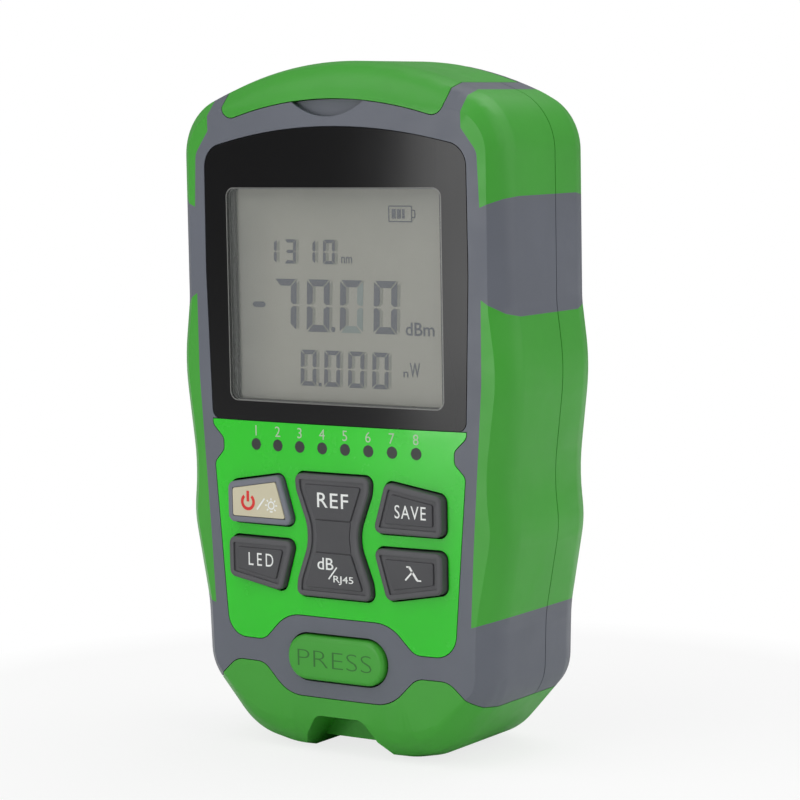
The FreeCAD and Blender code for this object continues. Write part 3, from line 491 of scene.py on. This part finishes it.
POWER_PAD_ROUND = 0.12
PRESS_BACK_Y = -13.2
PRESS_ROUND = 0.8
WAIST_HEIGHT = 0.45
WAIST_ROUND = 0.1


def flipped(corners):
    """The same outline on the other side of the middle."""
    return [(-x, z, r) for x, z, r in reversed(corners)]


def drawn_in(corners, by, radius):
    """The same straight-sided outline made smaller all round."""
    points = [Vector((x, z)) for x, z, r in corners]
    moved = []
    for number, point in enumerate(points):
        arrive = (point - points[number - 1]).normalized()
        leave = (points[(number + 1) % len(points)] - point).normalized()
        inward = Vector((-arrive.y - leave.y, arrive.x + leave.x))
        moved.append((*(point + inward * by / (1 + arrive.dot(leave))), radius))
    return moved


def raised_piece(name, body, finish, form_sizes, stands_for=()):
    """A piece that is one raised form, from that form's outline, back, height, rounding and extra steps."""
    form = bmesh.new()
    raised_form(form, *form_sizes)
    closed_out(form)
    piece(form, name, body, finish, stands_for, RIM_SHARP)


def key_cap(node, corners, rim_finish, steps):
    """A key with a rounded rim and the steps that lead down from it into a sunk floor."""
    form_sizes = (corners, KEY_BACK_Y, KEY_BACK_Y - KEY_TOP_Y, KEY_RIM_ROUND, steps)
    raised_piece(f"{node}_cap", BODY_OF[node], rim_finish, form_sizes, (node,))


def rubber_key(node, corners, *tops):
    """A rubber key with a groove inside its rim and raised tops for its legends."""
    groove = [(RIM - GROOVE_EDGE, 0), (GROOVE_EDGE, -GROOVE_EASE), (WALL_LEAN, GROOVE_EASE - FALL)]
    key_cap(node, corners, RIM_RUBBER, groove)
    for number, outline in enumerate(tops):
        raised_piece(f"{node}_top_{number}", BODY_OF[node], FINISHES["key_rubber"],
                     (outline, TOP_BACK_Y, TOP_BACK_Y - PAD_Y, TOP_ROUND))


for node, corners in (("save_key", HIGH_KEY), ("led_key", flipped(LOW_KEY)), ("wavelength_key", LOW_KEY)):
    rubber_key(node, corners, drawn_in(corners, TOP_INSET, TOP_CORNER))
REF_TOP = [(-3.75, 41.6, 0.4), (3.75, 41.6, 0.4), (6.0, 47.6, 0.4), (-6.0, 47.6, 0.4)]
DB_TOP = [(-6.05, 29.65, 0.4), (6.05, 29.65, 0.4), (3.75, 35.8, 0.4), (-3.75, 35.8, 0.4)]
rubber_key("rocker_key", ROCKER_RIGHT + flipped(ROCKER_RIGHT), REF_TOP, DB_TOP)
power_outline = flipped(HIGH_KEY)
key_cap("power_key", power_outline, POWER_RIM, [(POWER_RIM_WIDE, 0), (WALL_LEAN, -FALL)])
power_top = drawn_in(power_outline, POWER_INSET, TOP_CORNER)
raised_piece("power_key_top", "power_key", FINISHES["key_beige"],
             (power_top, TOP_BACK_Y, POWER_PAD_HEIGHT, POWER_PAD_ROUND), ("power_key_pad",))

# the middle of the rocker, a flat floor between its two tops
WAIST = [(-3.7, 35.9, 0), (3.7, 35.9, 0), (3.4, 38.7, 0), (3.7, 41.5, 0), (-3.7, 41.5, 0), (-3.4, 38.7, 0)]
raised_piece("rocker_key_waist", "rocker_key", FINISHES["key_rubber"],
             (WAIST, TOP_BACK_Y, WAIST_HEIGHT, WAIST_ROUND))
press_outline = PRESS_RIGHT + flipped(PRESS_RIGHT)
press_height = PRESS_BACK_Y - KEY_TOP_Y
raised_piece("release_button_cap", "release_button", FINISHES["green_body"],
             (press_outline, PRESS_BACK_Y, press_height, PRESS_ROUND, [(PRESS_ROUND, 0)]),
             ("release_button",))

# ---------------------------------------------------------------- legends

PRINT_LIFT = 0.02
PRINT_Y = PAD_Y - PRINT_LIFT
for name, words, box, body, weight, spacing in (
    ("legend_ref", "REF", (-3.0, 3.5, 43.75, 46.3), "rocker_key", 0.004, 1.12),
    ("legend_db", "dB", (-3.2, 0.15, 32.95, 35.0), "rocker_key", 0.004, 1.0),
    ("legend_rj45", "RJ45", (0.1, 4.25, 30.5, 32.05), "rocker_key", 0.004, 1.0),
    ("legend_save", "SAVE", (13.0, 19.3, 42.85, 45.15), "save_key", 0.0, 1.15),
    ("legend_led", "LED", (-18.0, -12.65, 32.55, 34.8), "led_key", 0.0, 1.45),
):
    printed_text(name, words, box, PRINT_Y, body, LEGEND_WHITE, weight, spacing)
# the PRESS letters in a darker green, painted shade for their relief
printed_text("legend_press", "PRESS", (-7.8, 7.7, 15.65, 18.6), KEY_TOP_Y - PRINT_LIFT, "release_button",
             PRESS_LETTER_SHADE, -0.022)

slash_form = bmesh.new()
add_stroke(slash_form, (-0.9, 31.35), (0.85, 33.5), 0.26, PRINT_Y)
piece(slash_form, "legend_slash", "rocker_key", LEGEND_WHITE)

lambda_form = bmesh.new()
for start, end, width in (
    ((14.95, 32.4), (16.5, 34.0), 0.3),
    ((15.75, 34.75), (17.35, 32.55), 0.4),
    ((15.2, 34.72), (15.85, 34.72), 0.26),
    ((17.3, 32.5), (18.15, 32.5), 0.26),
):
    add_stroke(lambda_form, start, end, width, PRINT_Y)
piece(lambda_form, "legend_wavelength", "wavelength_key", LEGEND_WHITE)

POWER_PRINT_Y = KEY_TOP_Y - 0.09
POWER_MARK = (-17.78, 43.75)
LAMP_MARK = (-12.75, 43.4)
LAMP_STROKE = 0.25
RAYS = 8
SOCKET_RAY = 6
power_print = bmesh.new()
add_arc(power_print, POWER_MARK, 1.24, 0.56, 128, 412, POWER_PRINT_Y)
add_stroke(power_print, (POWER_MARK[0], 43.8), (POWER_MARK[0], 45.7), 0.56, POWER_PRINT_Y)
closed_out(power_print)
piece(power_print, "legend_power", "power_key", LEGEND_RED)
lamp_print = bmesh.new()
add_stroke(lamp_print, (-15.85, 42.5), (-14.15, 44.55), 0.3, POWER_PRINT_Y)
add_arc(lamp_print, LAMP_MARK, 0.62, LAMP_STROKE, 0, 360, POWER_PRINT_Y)
for ray in range(RAYS):
    if ray == SOCKET_RAY:
        continue
    angle = 2 * math.pi * ray / RAYS
    x, z = LAMP_MARK
    ends = [(x + reach * math.cos(angle), z + reach * math.sin(angle)) for reach in (0.9, 1.3)]
    add_stroke(lamp_print, *ends, LAMP_STROKE, POWER_PRINT_Y)
add_stroke(lamp_print, (-13.05, 42.3), (-12.45, 42.3), 0.26, POWER_PRINT_Y)
closed_out(lamp_print)
piece(lamp_print, "legend_lamp", "power_key", LEGEND_WHITE)

DOT_PITCH = 4.77
DOT_Z = 53.84
DOT_RADIUS = 1.12
DOT_DEPTH = 0.16
facing = Matrix.Rotation(math.radians(90), 4, "X")
dot_caps = bmesh.new()
for number in range(1, 9):
    x = (number - 4.5) * DOT_PITCH
    printed_text(f"light_number_{number}", str(number), (x, x, 55.35, 57.15), crown_y(x) - PRINT_LIFT,
                 "casing", NUMBER_GREY, -0.004)
    spot = Matrix.Translation(Vector((x, crown_y(x) + DOT_DEPTH / 4, DOT_Z)) * MM)
    bmesh.ops.create_cone(dot_caps, cap_ends=True, segments=32, radius1=DOT_RADIUS * MM,
                          radius2=0.9 * DOT_RADIUS * MM, depth=DOT_DEPTH * MM, matrix=spot @ facing)
piece(dot_caps, "status_light_caps", "casing", FINISHES["light_dark"])

# ---------------------------------------------------------------- display contents

BAR_GAP = 0.028
LEAN = 0.035
# how far right the painted shadow of the numerals is moved, in millimetres
SHADOW_SHIFT = 0.6
SEGMENTS_OF = {"0": "abcdef", "1": "bc", "3": "abcdg", "7": "abc"}


def segment_outlines(width, height, stroke, gap):
    """The seven bars of a numeral, mitred where they meet, from its lower left corner."""
    s, g, m = stroke, gap, height / 2
    return {
        "a": [(g, height), (width - g, height), (width - s - g / 2, height - s), (s + g / 2, height - s)],
        "d": [(g, 0), (s + g / 2, s), (width - s - g / 2, s), (width - g, 0)],
        "b": [(width, height - g), (width, m + g), (width - s / 2, m + g / 2), (width - s, m + s / 2),
              (width - s, height - s - g / 2)],
        "c": [(width, g), (width - s, s + g / 2), (width - s, m - s / 2), (width - s / 2, m - g / 2),
              (width, m - g)],
        "e": [(0, g), (0, m - g), (s / 2, m - g / 2), (s, m - s / 2), (s, s + g / 2)],
        "f": [(0, height - g), (s, height - s - g / 2), (s, m + s / 2), (s / 2, m + g / 2), (0, m + g)],
        "g": [(s / 2 + g, m), (s + g, m + s / 2), (width - s - g, m + s / 2), (width - s / 2 - g, m),
              (width - s - g, m - s / 2), (s + g, m - s / 2)],
    }


INK_Y = GLASS_Y - 0.06
SHADOW_Y = GLASS_Y - 0.03


def add_bar(form, points, x, z, y_front=INK_Y, lean=0.0):
    """A raised bar of a straight-sided outline that starts at x, z and may lean to the right."""
    corners = [(x + px + lean * pz, z + pz, 0) for px, pz in points]
    face = outline_face(form, corners, y_front + PRINT_DEPTH)
    edges = list(face.edges)
    step(form, face, 0, PRINT_DEPTH)
    close_back(form, edges)


# each row: numerals, left end, foot, width and height of a numeral, pitch and width of a bar
NUMERAL_ROWS = {
    "wavelength": ("1310", -15.4, 85.4, 2.45, 4.2, 4.1, 0.58),
    "level": ("7000", -13.8, 73.7, 4.75, 9.05, 6.98, 1.2),
    "power": ("0000", -8.35, 64.3, 3.3, 6.25, 5.0, 0.78),
}
FADED = {("level", 2, "b"), ("level", 2, "c"), ("level", 2, "d")}


def numerals(name, row, finish, y_front, shift=0.0, faded=False):
    """The strong bars of a row's numerals, or only its faded ones."""
    words, left, low, width, height, pitch, stroke = NUMERAL_ROWS[row]
    form = bmesh.new()
    bars = segment_outlines(width, height, stroke, BAR_GAP * height)
    for place, numeral in enumerate(words):
        for bar in SEGMENTS_OF[numeral]:
            if ((row, place, bar) in FADED) == faded:
                add_bar(form, bars[bar], left + place * pitch + shift, low, y_front, LEAN)
    closed_out(form)
    piece(form, name, "casing", finish)


for row in NUMERAL_ROWS:
    numerals(f"display_{row}", row, SEGMENT_INK, INK_Y)
    # painted shadow: a copy of the row moved right and just behind its ink
    numerals(f"display_{row}_shade", row, SEGMENT_PAINTED_SHADOW, SHADOW_Y, SHADOW_SHIFT)
numerals("display_level_faint", "level", SEGMENT_FAINT, INK_Y, faded=True)

# the minus sign, the decimal points and the battery sign
signs = bmesh.new()
add_bar(signs, [(0, 0.5), (0.5, 0), (2.5, 0), (3.0, 0.5), (2.5, 1.0), (0.5, 1.0)], -18.4, 77.7)
add_bar(signs, [(0.2, 0), (0.7, 0), (0.9, 0.45), (0.7, 0.9), (0.2, 0.9), (0, 0.45)], -1.65, 73.75)
add_bar(signs, [(0, 0), (0.6, 0), (0.6, 0.6), (0, 0.6)], -4.5, 64.3)
for start, end in (
    ((10.7, 92.8), (15.3, 92.8)), ((10.7, 95.4), (15.3, 95.4)), ((10.7, 92.8), (10.7, 95.4)),
    ((15.3, 92.8), (15.3, 95.4)), ((15.3, 93.5), (15.95, 93.5)), ((15.3, 94.7), (15.95, 94.7)),
    ((15.95, 93.5), (15.95, 94.7)),
):
    add_stroke(signs, start, end, 0.2, INK_Y)
for left, wide in ((11.3, 0.8), (12.35, 0.8), (13.4, 0.5)):
    add_bar(signs, [(0, 0), (wide, 0), (wide, 1.6), (0, 1.6)], left, 93.3)
closed_out(signs)
piece(signs, "display_signs", "casing", SEGMENT_INK)
for name, words, box, weight in (
    ("display_dbm", "dBm", (13.7, 19.5, 73.6, 75.85), 0.012),
    ("display_nm", "nm", (0.75, 3.0, 85.6, 86.75), 0.01),
    ("display_nw_n", "n", (13.1, 14.1, 66.5, 67.5), 0.01),
    ("display_nw_w", "W", (14.4, 16.5, 66.5, 69.0), 0.012),
):
    printed_text(name, words, box, INK_Y, "casing", SEGMENT_INK, weight)

# a dark ring in the gap between the display and its lens, standing for the housing wall there and for
# painted shade in that gap
GAP_RING_Y = -14.58
GAP_RING_WIDE = 1.4
GAP_RING_DEPTH = 0.65
GAP_RING_CORNER = 2.0
GAP_RING_RIGHT = [
    (WINDOW_X + 0.5, WINDOW_LOW_Z - 1.25, GAP_RING_CORNER),
    (WINDOW_X + 0.5, WINDOW_HIGH_Z + 1.25, GAP_RING_CORNER),
]
gap_ring = bmesh.new()
gap_ring_face = outline_face(gap_ring, GAP_RING_RIGHT + flipped(GAP_RING_RIGHT), GAP_RING_Y)
step(gap_ring, gap_ring_face, GAP_RING_WIDE, 0)
bmesh.ops.delete(gap_ring, geom=[gap_ring_face], context="FACES_ONLY")
bmesh.ops.solidify(gap_ring, geom=gap_ring.faces[:], thickness=GAP_RING_DEPTH * MM)
closed_out(gap_ring)
piece(gap_ring, "window_gap_wall_and_shade", "casing", GAP_WALL_AND_SHADE)

# ---------------------------------------------------------------- stage, light and camera

def camera_ray_share(tree):
    """1 for what the camera sees straight, and 0 for light and reflections."""
    return tree.nodes.new("ShaderNodeLightPath").outputs["Is Camera Ray"]


FILL_STRENGTH = 0.28
FLOOR_RADIUS = 3
FLOOR_GREY = 0.9
# how much of the floor is white light near the object and far from it, and where it changes, in metres
FLOOR_WHITE = (0.78, 1.0)
FLOOR_FADE = (0.10, 0.12)


def white_world():
    """White behind the object, and an even white fill that is weaker."""
    world = bpy.data.worlds.new("studio")
    bpy.context.scene.world = world
    world.use_nodes = True
    tree = world.node_tree
    tree.nodes.clear()
    out = tree.nodes.new("ShaderNodeOutputWorld")
    mix = tree.nodes.new("ShaderNodeMixShader")
    fill = tree.nodes.new("ShaderNodeBackground")
    fill.inputs["Strength"].default_value = FILL_STRENGTH
    seen = tree.nodes.new("ShaderNodeBackground")
    for background in (fill, seen):
        background.inputs["Color"].default_value = (1, 1, 1, 1)
    seen.inputs["Strength"].default_value = 1.0
    tree.links.new(camera_ray_share(tree), mix.inputs["Fac"])
    tree.links.new(fill.outputs[0], mix.inputs[1])
    tree.links.new(seen.outputs[0], mix.inputs[2])
    tree.links.new(mix.outputs[0], out.inputs["Surface"])


def pale_floor():
    """A floor that keeps the object's shadow and turns white towards the horizon."""
    form = bmesh.new()
    bmesh.ops.create_circle(form, cap_ends=True, segments=64, radius=FLOOR_RADIUS)
    mesh = bpy.data.meshes.new("studio_floor")
    form.to_mesh(mesh)
    form.free()
    floor = bpy.data.objects.new("studio_floor", mesh)
    bpy.context.scene.collection.objects.link(floor)
    material = bpy.data.materials.new("pale_floor")
    material.use_nodes = True
    tree = material.node_tree
    tree.nodes.clear()
    out = tree.nodes.new("ShaderNodeOutputMaterial")
    paper = tree.nodes.new("ShaderNodeBsdfDiffuse")
    paper.inputs["Color"].default_value = (FLOOR_GREY, FLOOR_GREY, FLOOR_GREY, 1)
    glow = tree.nodes.new("ShaderNodeEmission")
    glow.inputs["Strength"].default_value = 1.0
    place = tree.nodes.new("ShaderNodeTexCoord")
    away = tree.nodes.new("ShaderNodeVectorMath")
    away.operation = "LENGTH"
    tree.links.new(place.outputs["Object"], away.inputs[0])
    fade = spread(tree, away.outputs["Value"], *FLOOR_WHITE, *FLOOR_FADE)
    both = tree.nodes.new("ShaderNodeMath")
    both.operation = "MULTIPLY"
    tree.links.new(fade, both.inputs[0])
    tree.links.new(camera_ray_share(tree), both.inputs[1])
    mix = tree.nodes.new("ShaderNodeMixShader")
    tree.links.new(both.outputs[0], mix.inputs["Fac"])
    tree.links.new(paper.outputs[0], mix.inputs[1])
    tree.links.new(glow.outputs[0], mix.inputs[2])
    tree.links.new(mix.outputs[0], out.inputs["Surface"])
    mesh.materials.append(material)


AIM = Vector((0, 0, 0.06))

# each lamp: azimuth and elevation in degrees, distance, width and height in metres, and watts
LAMPS = {
    "key_light": (-30, 50, 0.9, 0.9, 0.9, 3.4),
    "side_light": (80, 35, 0.9, 0.6, 0.8, 1.55),
    "strip_light": (-19, 0, 0.5, 0.13, 0.2, 0.5),
    "top_light": (160, 65, 0.9, 0.7, 0.7, 2.9),
    "rim_light": (118, 15, 0.9, 0.5, 0.9, 1.35),
}


def soft_lamp(name, azimuth, elevation, distance, width, height, watts):
    """A soft light seen from the object at an azimuth (0 in front, 90 at the right) and an elevation."""
    a, e = math.radians(azimuth), math.radians(elevation)
    data = bpy.data.lights.new(name, "AREA")
    data.shape = "RECTANGLE"
    data.size = width
    data.size_y = height
    data.energy = watts
    lamp = bpy.data.objects.new(name, data)
    bpy.context.scene.collection.objects.link(lamp)
    toward = Vector((math.sin(a) * math.cos(e), -math.cos(a) * math.cos(e), math.sin(e)))
    lamp.location = AIM + toward * distance
    lamp.rotation_mode = "QUATERNION"
    lamp.rotation_quaternion = toward.to_track_quat("Z", "Y")
    lamp.visible_camera = False


CAMERA_TURN = (33.69, 5.90, -1.01)
CAMERA_PLACE = (0.26935, -0.3994, 0.1105)
LENS_MM = 123.75


def studio_camera():
    """A camera at an azimuth, an elevation and a roll, in degrees."""
    azimuth, elevation, roll = (math.radians(angle) for angle in CAMERA_TURN)
    back = Vector((math.sin(azimuth) * math.cos(elevation), -math.cos(azimuth) * math.cos(elevation),
                   math.sin(elevation)))
    level = Vector((0, 0, 1)).cross(back).normalized()
    upright = back.cross(level)
    across = level * math.cos(roll) + upright * math.sin(roll)
    up = upright * math.cos(roll) - level * math.sin(roll)
    data = bpy.data.cameras.new("studio_camera")
    data.lens = LENS_MM
    data.sensor_width = 36
    data.clip_start = 0.01
    camera = bpy.data.objects.new("studio_camera", data)
    bpy.context.scene.collection.objects.link(camera)
    camera.rotation_mode = "QUATERNION"
    camera.rotation_quaternion = Matrix((across, up, back)).transposed().to_quaternion()
    camera.location = CAMERA_PLACE
    bpy.context.scene.camera = camera


white_world()
pale_floor()
for name, settings in LAMPS.items():
    soft_lamp(name, *settings)
studio_camera()
bpy.context.scene.view_settings.view_transform = "Standard"
